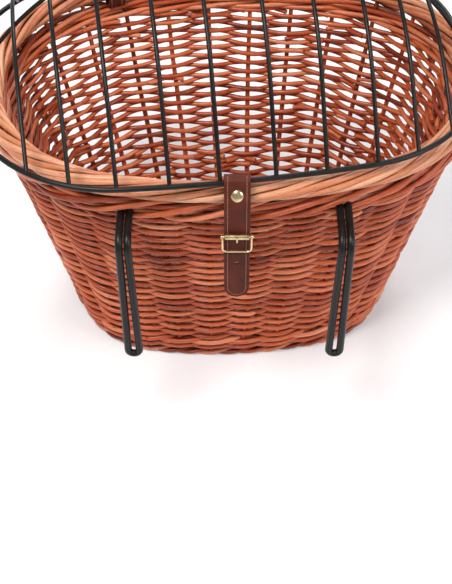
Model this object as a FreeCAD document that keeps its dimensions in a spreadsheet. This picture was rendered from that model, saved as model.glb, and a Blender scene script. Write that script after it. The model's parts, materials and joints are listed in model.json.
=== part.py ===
"""Wicker handlebar basket with a wire dome lid.  Millimetres, +Z up, +Y away from the rider.

The willow body stands on its foot ring.  Two black rod hooks leave the back wall (-Y) under the
border, a domed wire lid hinges on two leather loops at the front, and a leather strap on the lid
closes in a brass roller buckle at the back.
"""
import FreeCAD, Part
import math
import os

from FreeCAD import Placement, Rotation, Vector

doc = FreeCAD.newDocument("handlebar_basket")

# ---------------------------------------------------------------- driving dimensions
SIZES = {
    # the oval of the woven wall, outer face, at the floor and under the border
    "foot_half_x": 156.0, "foot_half_y": 108.0,
    "foot_corner": 90.0, "foot_long_arc": 400.0, "foot_side_arc": 520.0,
    "top_half_x": 217.0, "top_half_y": 162.0,
    "top_corner": 142.0, "top_long_arc": 412.0, "top_side_arc": 700.0,
    # heights of the bands of weave
    "foot_top": 7.0, "wale_low": 12.0, "wale_high": 30.0,
    "top_wale_low": 236.0, "border_low": 255.5, "border_high": 274.5,
    "wall_thick": 11.0, "wale_extra": 1.5, "foot_wide": 9.0,
    "weave_turn": 3.0,
    "border_wide": 22.0, "border_half_x": 224.7, "border_half_y": 169.5, "border_round": 7.5,
    "stake_count": 28, "stake_dia": 5.0,
    "base_low": 13.0, "base_high": 19.0, "stick_dia": 7.0, "stick_gap": 34.0,
    # everything is drawn about the oval's centre and moved by this much to centre the footprint
    "shift_x": 5.5, "shift_y": 10.9,
    # black hooks
    "rod_dia": 6.6, "hook_mid_x": 2.7, "hook_spacing": 182.5, "hook_foot_spacing": 178.5,
    "hook_level": 238.0, "hook_reach": 191.2, "hook_foot": 101.1,
    "hook_pair_top": 7.0, "hook_pair_foot": 10.0,
    # wire lid, in its own frame, which is turned and moved a little on the border
    "lid_half_x": 221.0, "lid_half_y": 160.0, "lid_corner": 127.0,
    "lid_long_arc": 1300.0, "lid_side_arc": 770.0, "lid_wire": 4.8, "dome_wire": 3.6,
    "lid_x": -8.4, "lid_y": -5.4, "lid_level": 281.6, "lid_yaw": 8.5, "lid_rise": 128.0,
    # hinge loops
    "loop_offset": 85.0, "loop_width": 16.0, "loop_thick": 2.2, "loop_wide": 24.4,
    "loop_low": 252.9, "loop_high": 286.4,
    # leather closure strap, buckle and buckle strap
    "strap_x": 4.5, "strap_width": 21.4, "strap_thick": 2.0, "fold_lean": 60.0,
    "bend_down": 18.5, "strap_tip_y": -186.0, "strap_tip_z": 170.0, "fold_end_z": 252.0,
    "rivet_down": 10.5, "buckle_z": 230.6, "spare_hole_z": 208.2,
    "buckle_wire": 1.7, "buckle_inner": 22.0, "roller_up": 8.4, "keeper_down": 7.8,
    "lower_strap_width": 18.0, "lower_strap_thick": 1.4, "lower_strap_end_y": -146.5,
    "lower_strap_end_z": 208.0,
}

sheet = doc.addObject("Spreadsheet::Sheet", "sizes")
for row, (alias, value) in enumerate(SIZES.items(), start=1):
    sheet.set(f"A{row}", alias)
    sheet.set(f"B{row}", str(value))
    sheet.setAlias(f"B{row}", alias)
doc.recompute()


def size(alias):
    """A driving dimension, read back from the spreadsheet."""
    return float(sheet.get(alias))


UPRIGHT = Vector(0, 0, 1)


def place_piece(piece, place):
    """Put a piece at a place in the basket, moved with the whole object's shift."""
    piece.Placement = place
    piece.setExpression("Placement.Base.x", f"{place.Base.x:.6f} + sizes.shift_x")
    piece.setExpression("Placement.Base.y", f"{place.Base.y:.6f} + sizes.shift_y")
    return piece


def add_feature(name, shape, place=Placement()):
    """A sub-part whose shape is computed here."""
    feature = doc.addObject("Part::Feature", name)
    feature.Label = name
    feature.Shape = shape
    return place_piece(feature, place)


# the woven body stands a little turned behind its hooks, and the lid is turned further
WEAVE_PLACE = Placement(Vector(0, 0, 0), Rotation(UPRIGHT, size("weave_turn")))
LID_PLACE = Placement(Vector(size("lid_x"), size("lid_y"), size("lid_level")),
                      Rotation(UPRIGHT, size("lid_yaw")))


def add_woven(name, shape):
    """A sub-part of the woven body, drawn square and turned with the weave."""
    feature = add_feature(name, shape, WEAVE_PLACE)
    feature.setExpression("Placement.Rotation.Angle", "sizes.weave_turn * 1 deg")
    return feature


def add_lid_feature(name, shape):
    """A sub-part of the lid, drawn in the lid's own frame, with its rim wire at height 0."""
    feature = add_feature(name, shape, LID_PLACE)
    feature.setExpression("Placement.Base.x", "sizes.lid_x + sizes.shift_x")
    feature.setExpression("Placement.Base.y", "sizes.lid_y + sizes.shift_y")
    feature.setExpression("Placement.Base.z", "sizes.lid_level")
    feature.setExpression("Placement.Rotation.Angle", "sizes.lid_yaw * 1 deg")
    return feature


# ---------------------------------------------------------------- ovals of eight arcs
class Oval:
    """Closed outline of a front and a back arc, two side arcs and four corner arcs."""

    def __init__(self, half_x, half_y, corner, long_arc, side_arc):
        self.half_x = half_x
        self.half_y = half_y
        self.corner = corner
        self.long_arc = long_arc
        self.side_arc = side_arc

    def grown(self, amount):
        """The outline offset outward by amount."""
        return Oval(self.half_x + amount, self.half_y + amount, self.corner + amount,
                    self.long_arc + amount, self.side_arc + amount)

    def centres(self):
        """Centres of the back arc, the right side arc and the corner arc between them."""
        long_centre = Vector(0, self.half_y - self.long_arc, 0)
        side_centre = Vector(self.half_x - self.side_arc, 0, 0)
        reach_long = self.long_arc - self.corner
        reach_side = self.side_arc - self.corner
        between = side_centre - long_centre
        gap = between.Length
        along = (reach_long ** 2 - reach_side ** 2 + gap ** 2) / (2 * gap)
        across = math.sqrt(reach_long ** 2 - along ** 2)
        unit = between / gap
        normal = Vector(-unit.y, unit.x, 0)
        corner_centre = long_centre + unit * along + normal * across
        if corner_centre.x + corner_centre.y < 0:
            corner_centre = long_centre + unit * along - normal * across
        return long_centre, side_centre, corner_centre

    def knots(self):
        """Points of the first quadrant: side middle, side end, corner, long start, long middle."""
        long_centre, side_centre, corner_centre = self.centres()
        to_side = (corner_centre - side_centre).normalize()
        to_long = (corner_centre - long_centre).normalize()
        side_end = side_centre + to_side * self.side_arc
        long_start = long_centre + to_long * self.long_arc
        corner_mid = corner_centre + (to_side + to_long).normalize() * self.corner
        return side_end, corner_mid, long_start

    def wire(self, level):
        """The outline as a wire of eight arcs at one height, starting at the back (-Y)."""
        side_end, corner_mid, long_start = self.knots()
        up = Vector(0, 0, level)

        def at(point, flip_x, flip_y):
            return Vector(point.x * flip_x, point.y * flip_y, 0) + up

        back = Vector(0, -self.half_y, level)
        front = Vector(0, self.half_y, level)
        right = Vector(self.half_x, 0, level)
        left = Vector(-self.half_x, 0, level)
        edges = []
        for first, middle, last in (
                (at(long_start, -1, -1), back, at(long_start, 1, -1)),
                (at(long_start, 1, -1), at(corner_mid, 1, -1), at(side_end, 1, -1)),
                (at(side_end, 1, -1), right, at(side_end, 1, 1)),
                (at(side_end, 1, 1), at(corner_mid, 1, 1), at(long_start, 1, 1)),
                (at(long_start, 1, 1), front, at(long_start, -1, 1)),
                (at(long_start, -1, 1), at(corner_mid, -1, 1), at(side_end, -1, 1)),
                (at(side_end, -1, 1), left, at(side_end, -1, -1)),
                (at(side_end, -1, -1), at(corner_mid, -1, -1), at(long_start, -1, -1))):
            edges.append(Part.Arc(first, middle, last).toShape())
        return Part.Wire(edges)

    def depth_at(self, offset):
        """Half depth of the outline at a distance from its middle along X."""
        long_centre, side_centre, corner_centre = self.centres()
        long_start = self.knots()[2]
        side_end = self.knots()[0]
        distance = abs(offset)
        if distance <= long_start.x:
            return long_centre.y + math.sqrt(self.long_arc ** 2 - distance ** 2)
        if distance <= side_end.x:
            return corner_centre.y + math.sqrt(self.corner ** 2 - (distance - corner_centre.x) ** 2)
        return math.sqrt(self.side_arc ** 2 - (distance - side_centre.x) ** 2)


def wall_oval(level):
    """Outer face of the woven wall at a height: the two driving ovals, blended in a straight line."""
    share = level / size("border_low")

    def blend(name):
        return size("foot_" + name) * (1 - share) + size("top_" + name) * share

    return Oval(blend("half_x"), blend("half_y"), blend("corner"), blend("long_arc"), blend("side_arc"))


def shell(low, high, outside, thick):
    """A ring of wall between two heights, with straight sloping faces."""
    outer = [wall_oval(level).grown(outside).wire(level) for level in (low, high)]
    inner = [wall_oval(level).grown(outside - thick).wire(level) for level in (low, high)]
    return Part.makeLoft(outer, True, True).cut(Part.makeLoft(inner, True, True))


# ---------------------------------------------------------------- bent rods and straps
# how much smaller than half the gap a U bend's arcs are, so that a short straight run stays between
BEND_SLACK = 0.05


def rounded_path(points, radii):
    """Straight runs joined by tangent arcs: one radius for each inner point."""
    edges = []
    start = points[0]
    for index in range(1, len(points) - 1):
        corner = points[index]
        back = (points[index - 1] - corner).normalize()
        ahead = (points[index + 1] - corner).normalize()
        half = back.getAngle(ahead) / 2
        radius = radii[index - 1]
        first = corner + back * (radius / math.tan(half))
        last = corner + ahead * (radius / math.tan(half))
        bisector = (back + ahead).normalize()
        middle = corner + bisector * (radius / math.sin(half) - radius)
        if (first - start).Length > 1e-4:
            edges.append(Part.LineSegment(start, first).toShape())
        edges.append(Part.Arc(first, middle, last).toShape())
        start = last
    edges.append(Part.LineSegment(start, points[-1]).toShape())
    return Part.Wire(edges)


def rod_along(path, diameter):
    """A round rod swept along a wire."""
    first = path.OrderedEdges[0]
    begin = first.valueAt(first.FirstParameter)
    heading = first.tangentAt(first.FirstParameter)
    if (begin - path.OrderedVertexes[0].Point).Length > 1e-6:
        begin = first.valueAt(first.LastParameter)
        heading = first.tangentAt(first.LastParameter) * -1
    ring = Part.Wire([Part.Circle(begin, heading, diameter / 2).toShape()])
    return path.makePipeShell([ring], True, False)


def ribbon_along(path, width, thick, middle_x):
    """A flat strip, width along X, swept along a wire in a plane of constant X."""
    start = path.OrderedVertexes[0].Point
    heading = (path.OrderedEdges[0].CenterOfMass - start).normalize()
    across = Vector(1, 0, 0)
    normal = heading.cross(across).normalize()
    corners = []
    for along, off in ((-1, -1), (1, -1), (1, 1), (-1, 1)):
        corners.append(start + across * (along * width / 2) + normal * (off * thick / 2))
    section = Part.makePolygon(corners + corners[:1])
    strip = path.makePipeShell([section], True, False)
    strip.translate(Vector(middle_x, 0, 0))
    return strip


def band_along(path, wide, high, corner):
    """A band with a rounded rectangular section, swept round a closed level outline."""
    start = path.OrderedVertexes[0].Point
    first = path.OrderedEdges[0]
    heading = first.tangentAt(first.getParameterByLength(0.0))
    across = heading.cross(Vector(0, 0, 1)).normalize()
    up = Vector(0, 0, 1)
    corners = []
    for side, lift in ((0, -1), (1, -1), (1, 1), (-1, 1), (-1, -1), (0, -1)):
        corners.append(start + across * (side * wide / 2) + up * (lift * high / 2))
    section = rounded_path(corners, [corner] * 4)
    return path.makePipeShell([section], True, False)


def side_point(y_value, z_value):
    """A point of the upright plane through a strap's middle line."""
    return Vector(0, y_value, z_value)


def bar(centre, direction, length, diameter):
    """A round bar given by the middle of its length."""
    direction = Vector(direction).normalize()
    return Part.makeCylinder(diameter / 2, length, centre - direction * (length / 2), direction)


# ---------------------------------------------------------------- willow body
STAKE_SINK = 1.0
FOOT_CHAMFER = 1.5

foot_outer = [wall_oval(0).wire(0), wall_oval(0).wire(size("foot_top"))]
foot_inner = [wall_oval(0).grown(-size("foot_wide")).wire(level) for level in (0, size("foot_top"))]
foot_solid = Part.makeLoft(foot_outer, True, True).cut(Part.makeLoft(foot_inner, True, True))
foot_edges = [edge for edge in foot_solid.Edges
              if abs(edge.BoundBox.ZMax - edge.BoundBox.ZMin) < 0.01 and edge.BoundBox.ZMin > 1]
add_woven("foot_ring", foot_solid.makeChamfer(FOOT_CHAMFER, foot_edges))

WALE_OUT = size("wale_extra")
add_woven("bottom_waling", shell(size("wale_low"), size("wale_high"), WALE_OUT,
                                 size("wall_thick") + 2 * WALE_OUT))
add_woven("side_weave", shell(size("wale_high"), size("top_wale_low"), 0, size("wall_thick")))
add_woven("top_waling", shell(size("top_wale_low"), size("border_low"), 0, size("wall_thick")))

# stakes: straight uprights in the middle of the wall, from the foot ring up into the border
stake_low = STAKE_SINK
stake_high = (size("border_low") + size("border_high")) / 2
stake_inset = -size("wall_thick") / 2
stake_total = int(size("stake_count"))
low_wire = wall_oval(stake_low).grown(stake_inset).wire(stake_low)
high_wire = wall_oval(stake_high).grown(stake_inset).wire(stake_high)
low_points = low_wire.discretize(Number=stake_total + 1)
high_points = high_wire.discretize(Number=stake_total + 1)
stakes = []
for low_point, high_point in zip(low_points[:-1], high_points[:-1]):
    rise = high_point - low_point
    stakes.append(Part.makeCylinder(size("stake_dia") / 2, rise.Length, low_point, rise))
add_woven("stakes", Part.makeCompound(stakes))

# base: an oval woven panel over five long sticks, both let into the bottom waling
PANEL_LET_IN = 4.0
BASE_EDGE = size("wall_thick") + WALE_OUT - PANEL_LET_IN
panel_wires = [wall_oval(level).grown(-BASE_EDGE).wire(level)
               for level in (size("base_low"), size("base_high"))]
add_woven("base_weave", Part.makeLoft(panel_wires, True, True))

STICK_ROWS = (-2, -1, 0, 1, 2)
STICK_DROP = 1.0
STICK_END = 4.0
OUTER_STICK_SHARE = 0.78
stick_level = size("base_low") + size("stick_dia") / 2 - STICK_DROP
stick_oval = wall_oval(stick_level).grown(-BASE_EDGE)
sticks = []
for stick_row in STICK_ROWS:
    half_length = stick_oval.half_x - STICK_END
    if stick_row in (STICK_ROWS[0], STICK_ROWS[-1]):
        half_length = stick_oval.half_x * OUTER_STICK_SHARE
    stick = doc.addObject("Part::Cylinder", f"stick_{len(sticks) + 1}")
    stick.setExpression("Radius", "sizes.stick_dia / 2")
    stick.Height = 2 * half_length
    stick.Placement = Placement(Vector(-half_length, 0, 0), Rotation(Vector(0, 1, 0), 90))
    stick.setExpression("Placement.Base.y", f"{stick_row} * sizes.stick_gap")
    stick.setExpression("Placement.Base.z", f"sizes.base_low + sizes.stick_dia / 2 - {STICK_DROP}")
    sticks.append(stick)
stick_group = doc.addObject("Part::Compound", "base_sticks")
stick_group.Label = "base_sticks"
stick_group.Links = sticks
place_piece(stick_group, WEAVE_PLACE)
stick_group.setExpression("Placement.Rotation.Angle", "sizes.weave_turn * 1 deg")

# border: a rounded band round the rim, its arcs wider than the wall's
BORDER_FLARE = 8.0
border_outer = Oval(size("border_half_x"), size("border_half_y"), size("top_corner") + BORDER_FLARE,
                    size("top_long_arc") + BORDER_FLARE, size("top_side_arc") + BORDER_FLARE)
border_centre = border_outer.grown(-size("border_wide") / 2)
border_level = (size("border_low") + size("border_high")) / 2
border_tall = size("border_high") - size("border_low")
add_woven("rim_border", band_along(border_centre.wire(border_level), size("border_wide"),
                                   border_tall, size("border_round")))

# ---------------------------------------------------------------- hooks: one bent rod
HOOK_BEND = 12.0
INSIDE_BEND = 9.0
CROSSBAR_BOW = 380.0
CROSSBAR_INWARD = 1.0
ROD_GAP_INSIDE = 0.8
TAIL_RUN = 26.0


def woven_y(outline, offset, front):
    """Y, on the turned outline, of its front or back at a distance along X in the basket's frame."""
    side = 1 if front else -1
    across = offset
    for _ in range(6):
        on_outline = WEAVE_PLACE.multVec(Vector(across, side * outline.depth_at(across), 0))
        across += offset - on_outline.x
    return on_outline.y


def inside_wall_y(offset, level):
    """Y of a rod's centre lying against the inside of the back wall."""
    lining = wall_oval(level).grown(-size("wall_thick") - size("rod_dia") / 2 - ROD_GAP_INSIDE)
    return woven_y(lining, offset, front=False)


level = size("hook_level")
reach = -size("hook_reach")
foot = size("hook_foot")
mid_x = size("hook_mid_x")
foot_bend = size("hook_pair_foot") / 2 - BEND_SLACK
hook_points = []
hook_radii = []
for side in (-1, 1):
    top_x = mid_x + side * size("hook_spacing") / 2
    foot_x = mid_x + side * size("hook_foot_spacing") / 2
    outer_top = top_x + side * size("hook_pair_top") / 2
    inner_top = top_x - side * size("hook_pair_top") / 2
    outer_foot = foot_x + side * size("hook_pair_foot") / 2
    inner_foot = foot_x - side * size("hook_pair_foot") / 2
    tail_x = outer_top + side * TAIL_RUN
    run = [Vector(tail_x, inside_wall_y(tail_x, level), level),
           Vector(outer_top, inside_wall_y(outer_top, level), level),
           Vector(outer_top, reach, level),
           Vector(outer_foot, reach, foot),
           Vector(inner_foot, reach, foot),
           Vector(inner_top, reach, level),
           Vector(inner_top, inside_wall_y(outer_top, level), level)]
    turns = [INSIDE_BEND, HOOK_BEND, foot_bend, foot_bend, HOOK_BEND, INSIDE_BEND]
    if side < 0:
        hook_points += run
        hook_radii += turns + [CROSSBAR_BOW]
        crossbar_y = inside_wall_y(mid_x, level) + CROSSBAR_INWARD
        hook_points.append(Vector(mid_x, crossbar_y, level))
    else:
        hook_points += run[::-1]
        hook_radii += turns[::-1]
add_feature("hook_frame", rod_along(rounded_path(hook_points, hook_radii), size("rod_dia")))

# ---------------------------------------------------------------- wire lid
# how far a wire's straight legs lean, against one arc from foot to foot
LEG_LEAN = 0.76
SIDE_LEAN = 0.92
# how far the dome wires lie above the cross wire, in wire diameters, where they are welded to it
DOME_STACK = 0.9
DOME_OFFSETS = (-177, -144, -107, -65, -24.5, 21, 63, 106, 142, 177)

lid_oval = Oval(size("lid_half_x"), size("lid_half_y"), size("lid_corner"),
                size("lid_long_arc"), size("lid_side_arc"))
add_lid_feature("lid_rim_wire", rod_along(lid_oval.wire(0), size("lid_wire")))


def arch(half_span, rise, lean):
    """Peak where two legs leaning at lean radians would meet, and the radius of the arc on top."""
    peak = half_span * math.tan(lean)
    radius = (half_span * math.sin(lean) - rise * math.cos(lean)) / (1 - math.cos(lean))
    return peak, radius


side_lean = SIDE_LEAN * 2 * math.atan(size("lid_rise") / size("lid_half_x"))
side_peak, side_radius = arch(size("lid_half_x"), size("lid_rise"), side_lean)
cross_path = rounded_path([Vector(-size("lid_half_x"), 0, 0), Vector(0, 0, side_peak),
                           Vector(size("lid_half_x"), 0, 0)], [side_radius])
add_lid_feature("lid_cross_wire", rod_along(cross_path, size("dome_wire")))


def cross_height(offset):
    """Height of the cross wire's centre line above the lid's rim wire."""
    arc_centre = size("lid_rise") - side_radius
    foot_of_arc = side_radius * math.sin(side_lean)
    if abs(offset) < foot_of_arc:
        return arc_centre + math.sqrt(side_radius ** 2 - offset ** 2)
    return (size("lid_half_x") - abs(offset)) * math.tan(side_lean)


for number, offset in enumerate(DOME_OFFSETS, start=1):
    half_span = lid_oval.depth_at(offset)
    rise = cross_height(offset) + size("dome_wire") * DOME_STACK
    lean = LEG_LEAN * 2 * math.atan(rise / half_span)
    peak, radius = arch(half_span, rise, lean)
    dome_path = rounded_path([Vector(offset, -half_span, 0), Vector(offset, 0, peak),
                              Vector(offset, half_span, 0)], [radius])
    add_lid_feature(f"dome_wire_{number:02d}", rod_along(dome_path, size("dome_wire")))

# ---------------------------------------------------------------- hinge loops at the front
RIVET_HEAD = 8.0
RIVET_THICK = 1.2
RIVET_ROUND = 0.9
LOOP_ROUND = 5.0


def hinge_point(side):
    """Centre of the lid's front wire where it lies in a hinge loop."""
    offset = side * size("loop_offset")
    return LID_PLACE.multVec(Vector(offset, lid_oval.depth_at(offset), 0))


def hinge_loop(name, side):
    """A leather band round the border and the lid's front wire."""
    middle_x = hinge_point(side).x
    middle_y = woven_y(border_centre, middle_x, front=True)
    in_weave = WEAVE_PLACE.inverse().multVec(Vector(middle_x, middle_y, 0))
    turn = size("weave_turn") - math.degrees(math.asin(in_weave.x / border_centre.long_arc))
    place = Placement(Vector(middle_x, middle_y, 0), Rotation(UPRIGHT, turn))
    outer = doc.addObject("Part::Box", name + "_outer")
    inner = doc.addObject("Part::Box", name + "_inner")
    for box, extra in ((outer, "sizes.loop_thick"), (inner, "0")):
        box.setExpression("Length", "sizes.loop_width")
        box.setExpression("Width", f"sizes.loop_wide + 2 * {extra}")
        box.setExpression("Height", f"sizes.loop_high - sizes.loop_low + 2 * {extra}")
    doc.recompute()
    rounded = []
    for box, thick in ((outer, size("loop_thick")), (inner, 0.0)):
        box.Placement.Base = Vector(-size("loop_width") / 2, -size("loop_wide") / 2 - thick,
                                    size("loop_low") - thick)
        fillet = doc.addObject("Part::Fillet", box.Name + "_round")
        fillet.Base = box
        along_x = [index for index, edge in enumerate(box.Shape.Edges, start=1)
                   if edge.BoundBox.XLength > 1]
        fillet.Edges = [(index, LOOP_ROUND + thick, LOOP_ROUND + thick) for index in along_x]
        rounded.append(fillet)
    band = doc.addObject("Part::Cut", name)
    band.Label = name
    band.Base = rounded[0]
    band.Tool = rounded[1]
    place_piece(band, place)
    return place


loop_places = [hinge_loop("hinge_loop_left", -1), hinge_loop("hinge_loop_right", 1)]
rivets = []
for place in loop_places:
    face_y = size("loop_wide") / 2 + size("loop_thick")
    head = Part.makeCylinder(RIVET_HEAD / 2, RIVET_THICK, Vector(0, face_y, border_level), Vector(0, 1, 0))
    front_edges = [edge for edge in head.Edges if edge.CenterOfMass.y > face_y + RIVET_THICK / 2]
    head = head.makeFillet(RIVET_ROUND, front_edges)
    head.Placement = place
    rivets.append(head)
add_feature("hinge_rivets", Part.makeCompound(rivets))

# ---------------------------------------------------------------- closure strap on the lid
EYE_CLEAR = 1.8
EYE_THROAT = 8.5
LAYER_GAP = 0.1
OUTER_BEND = 8.0
INNER_THROAT_BEND = 3.0
INNER_BEND = 6.0

tip = side_point(size("strap_tip_y"), size("strap_tip_z"))
strap_in_lid = 0.0
for _ in range(6):
    eye_point = LID_PLACE.multVec(Vector(strap_in_lid, -lid_oval.depth_at(strap_in_lid), 0))
    strap_in_lid += size("strap_x") - eye_point.x
eye = side_point(eye_point.y, size("lid_level"))
thick = size("strap_thick")
layer_step = thick + LAYER_GAP
eye_radius = size("lid_wire") / 2 + EYE_CLEAR + thick / 2
lean = math.radians(size("fold_lean"))
fall = side_point(-math.cos(lean), -math.sin(lean))
outward = side_point(-math.sin(lean), math.cos(lean))
bend = eye + outward * eye_radius + fall * size("bend_down")
hang = (tip - bend).normalize()
hang_out = side_point(hang.z, -hang.y)
bend_side = (outward + hang_out).normalize()
bend_in = bend - bend_side * (layer_step / bend_side.dot(hang_out))

# the inner layer leaves the eye along a tangent and meets the outer one at the throat
throat_out = eye_radius - layer_step
throat_reach = math.hypot(EYE_THROAT, throat_out)
throat_lean = math.atan2(throat_out, EYE_THROAT) + math.asin(eye_radius / throat_reach)
inner_corner = throat_out - (EYE_THROAT + eye_radius) * math.tan(throat_lean)
fold_run = (size("fold_end_z") - bend_in.z) / hang.z
strap_points = [tip,
                bend,
                eye - fall * eye_radius + outward * eye_radius,
                eye - fall * eye_radius + outward * inner_corner,
                eye + fall * EYE_THROAT + outward * throat_out,
                bend_in,
                bend_in + hang * fold_run]
eye_bend = eye_radius - BEND_SLACK
strap_path = rounded_path(strap_points, [OUTER_BEND, eye_bend, eye_bend, INNER_THROAT_BEND, INNER_BEND])
strap_solid = ribbon_along(strap_path, size("strap_width"), thick, size("strap_x"))


def on_fold(distance, out):
    """A point of the strap's sloping outer layer, from the lid wire down, off its middle by out."""
    return eye + fall * distance + outward * (eye_radius + out) + Vector(size("strap_x"), 0, 0)


def on_strap(height, out):
    """A point of the strap's hanging outer layer at a height, off its middle by out."""
    run_down = (height - bend.z) / hang.z
    return bend + hang * run_down + hang_out * out + Vector(size("strap_x"), 0, 0)


RIVET_SHANK = 3.2
SPARE_HOLE = 3.6
PRONG_HOLE = 3.2
PRONG_HOLE_LONG = 6.6
PRONG_HOLE_UP = 4.7
TAIL_TRIM = 0.5
CUT_REACH = 60.0
PUNCH_LONG = 10.0
half_width = size("strap_width") / 2
tail_centre = Vector(size("strap_x"), tip.y, tip.z - TAIL_TRIM + half_width)
above_tail = Part.makeBox(2 * CUT_REACH, 2 * CUT_REACH, 4 * CUT_REACH)
above_tail.translate(tail_centre - Vector(CUT_REACH, CUT_REACH, 0))
round_tail = bar(tail_centre, (0, 1, 0), 2 * CUT_REACH, 2 * half_width)
strap_solid = strap_solid.common(above_tail.fuse(round_tail))


hang_turn = Rotation(Vector(0, 1, 0), hang_out * -1)


def strap_slot(height, wide, long):
    """A punch for a round-ended slot along the strap's hanging part."""
    half_run = (long - wide) / 2
    punch = bar(on_strap(height - half_run, 0), hang_out, PUNCH_LONG, wide)
    punch = punch.fuse(bar(on_strap(height + half_run, 0), hang_out, PUNCH_LONG, wide))
    middle = Part.makeBox(wide, PUNCH_LONG, 2 * half_run)
    middle.translate(Vector(-wide / 2, -PUNCH_LONG / 2, -half_run))
    middle.Placement = Placement(on_strap(height, 0), hang_turn) * middle.Placement
    return punch.fuse(middle)


strap_solid = strap_solid.cut(bar(on_fold(size("rivet_down"), 0), outward, PUNCH_LONG, RIVET_SHANK))
strap_solid = strap_solid.cut(bar(on_strap(size("spare_hole_z"), 0), hang_out, PUNCH_LONG, SPARE_HOLE))
strap_solid = strap_solid.cut(strap_slot(size("buckle_z") + PRONG_HOLE_UP, PRONG_HOLE, PRONG_HOLE_LONG))
add_feature("closure_strap", strap_solid)

# closure rivet: domed head outside, shank through both layers, flat cap behind
DOME_HEAD = 10.4
DOME_HIGH = 2.2
DOME_STEPS = (0.25, 0.5, 0.7, 0.85, 0.95, 1.0)
CAP_DIA = 6.4
CAP_THICK = 1.2


def rivet_body(name, profile, place):
    """A turned part: its half profile as (radius, height) pairs, revolved about its axis."""
    body = doc.addObject("PartDesign::Body", name)
    body.Label = name
    sketch = body.newObject("Sketcher::SketchObject", name + "_profile")
    plane = [item for item in body.Origin.OriginFeatures if item.Role == "XZ_Plane"][0]
    sketch.AttachmentSupport = [(plane, "")]
    sketch.MapMode = "FlatFace"
    count = len(profile)
    for index, point in enumerate(profile):
        after = profile[(index + 1) % count]
        sketch.addGeometry(Part.LineSegment(Vector(point[0], point[1], 0), Vector(after[0], after[1], 0)))
    doc.recompute()
    turned = body.newObject("PartDesign::Revolution", name + "_turned")
    turned.Profile = sketch
    turned.ReferenceAxis = (sketch, ["V_Axis"])
    turned.Angle = 360.0
    doc.recompute()
    return place_piece(body, place)


outward_turn = Rotation(Vector(0, 0, 1), outward)
skin = thick / 2
back_skin = -(thick / 2 + LAYER_GAP + thick)
head_radius = DOME_HEAD / 2
dome_profile = [(0, skin), (head_radius, skin)]
for share in DOME_STEPS:
    dome_profile.append((head_radius * math.sqrt(1 - share ** 2), skin + DOME_HIGH * share))
rivet_body("closure_rivet", dome_profile, Placement(on_fold(size("rivet_down"), 0), outward_turn))
cap_profile = [(0, back_skin - CAP_THICK), (CAP_DIA / 2, back_skin - CAP_THICK),
               (CAP_DIA / 2, back_skin), (RIVET_SHANK / 2, back_skin), (RIVET_SHANK / 2, skin), (0, skin)]
rivet_body("closure_rivet_post", cap_profile, Placement(on_fold(size("rivet_down"), 0), outward_turn))

# ---------------------------------------------------------------- roller buckle
ROLLER_OUT = 2.5
ROLLER_FIT = 0.06
GAP = 0.3
LAP_FIT = 0.25
FRAME_ROUND = 3.6
TOP_ROUND = 1.3
STAPLE_ROUND = 1.6
NUB_RADIUS = 1.6
NUB_OUT = 0.5
KEEPER_IN = 0.6
STAPLE_SINK = 0.3
SEAM_LONG = 4.0
ROLLER_SHORT = 1.9
PRONG_WIRE = 1.4
PRONG_EYE_WIRE = 1.7
PRONG_FIT = 0.05
PRONG_REST_GAP = 0.1
PRONG_RISE = 4.7
PRONG_BEYOND = 1.4
PRONG_BEND = 1.2

wire_dia = size("buckle_wire")
eye_major = wire_dia / 2 + PRONG_FIT + PRONG_EYE_WIRE / 2
plane_out = thick / 2 + GAP + ROLLER_OUT
fold_radius = wire_dia / 2 + LAP_FIT + size("lower_strap_thick") / 2
bar_in = -(thick / 2 + GAP + eye_major + PRONG_EYE_WIRE / 2)
centre_x = size("strap_x")
side_x = size("buckle_inner") / 2 + wire_dia / 2
buckle_centre = on_strap(size("buckle_z"), 0)


def in_buckle(across, down, out):
    """A point given from the buckle's centre: across the strap, down it, and out from it."""
    return buckle_centre + Vector(across, 0, 0) + hang * down + hang_out * out


top_down = -size("roller_up")
low_down = size("keeper_down")
keeper_out = plane_out - KEEPER_IN
loop_corners = [in_buckle(0, top_down, plane_out), in_buckle(side_x, top_down, plane_out),
                in_buckle(side_x, low_down, keeper_out), in_buckle(-side_x, low_down, keeper_out),
                in_buckle(-side_x, top_down, plane_out), in_buckle(-0.01, top_down, plane_out)]
loop_rounds = [TOP_ROUND, FRAME_ROUND, FRAME_ROUND, TOP_ROUND]
outer_loop = rod_along(rounded_path(loop_corners, loop_rounds), wire_dia)
staple_out = plane_out - STAPLE_SINK
staple_corners = [in_buckle(-side_x, 0, staple_out), in_buckle(-side_x, 0, bar_in),
                  in_buckle(side_x, 0, bar_in), in_buckle(side_x, 0, staple_out)]
staple = rod_along(rounded_path(staple_corners, [STAPLE_ROUND, STAPLE_ROUND]), wire_dia)
seam = bar(in_buckle(0, top_down, plane_out), (1, 0, 0), SEAM_LONG, wire_dia)
nubs = [Part.makeSphere(NUB_RADIUS, in_buckle(side * (side_x + NUB_OUT), top_down, plane_out))
        for side in (-1, 1)]
add_feature("buckle_frame", outer_loop.fuse([staple, seam] + nubs).removeSplitter())

# the roller: a tube that turns freely on the frame's top bar
roller_length = 2 * (side_x - ROLLER_SHORT)
roller_start = in_buckle(-roller_length / 2, top_down, plane_out)
roller_tubes = []
roller_radii = (("roller_outer", f"{ROLLER_OUT}"), ("roller_bore", f"sizes.buckle_wire / 2 + {ROLLER_FIT}"))
for part_name, radius in roller_radii:
    tube = doc.addObject("Part::Cylinder", part_name)
    tube.setExpression("Radius", radius)
    tube.Height = roller_length
    roller_tubes.append(tube)
roller = doc.addObject("Part::Cut", "buckle_roller")
roller.Label = "buckle_roller"
roller.Base = roller_tubes[0]
roller.Tool = roller_tubes[1]
place_piece(roller, Placement(roller_start, Rotation(Vector(0, 1, 0), 90)))

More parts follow.
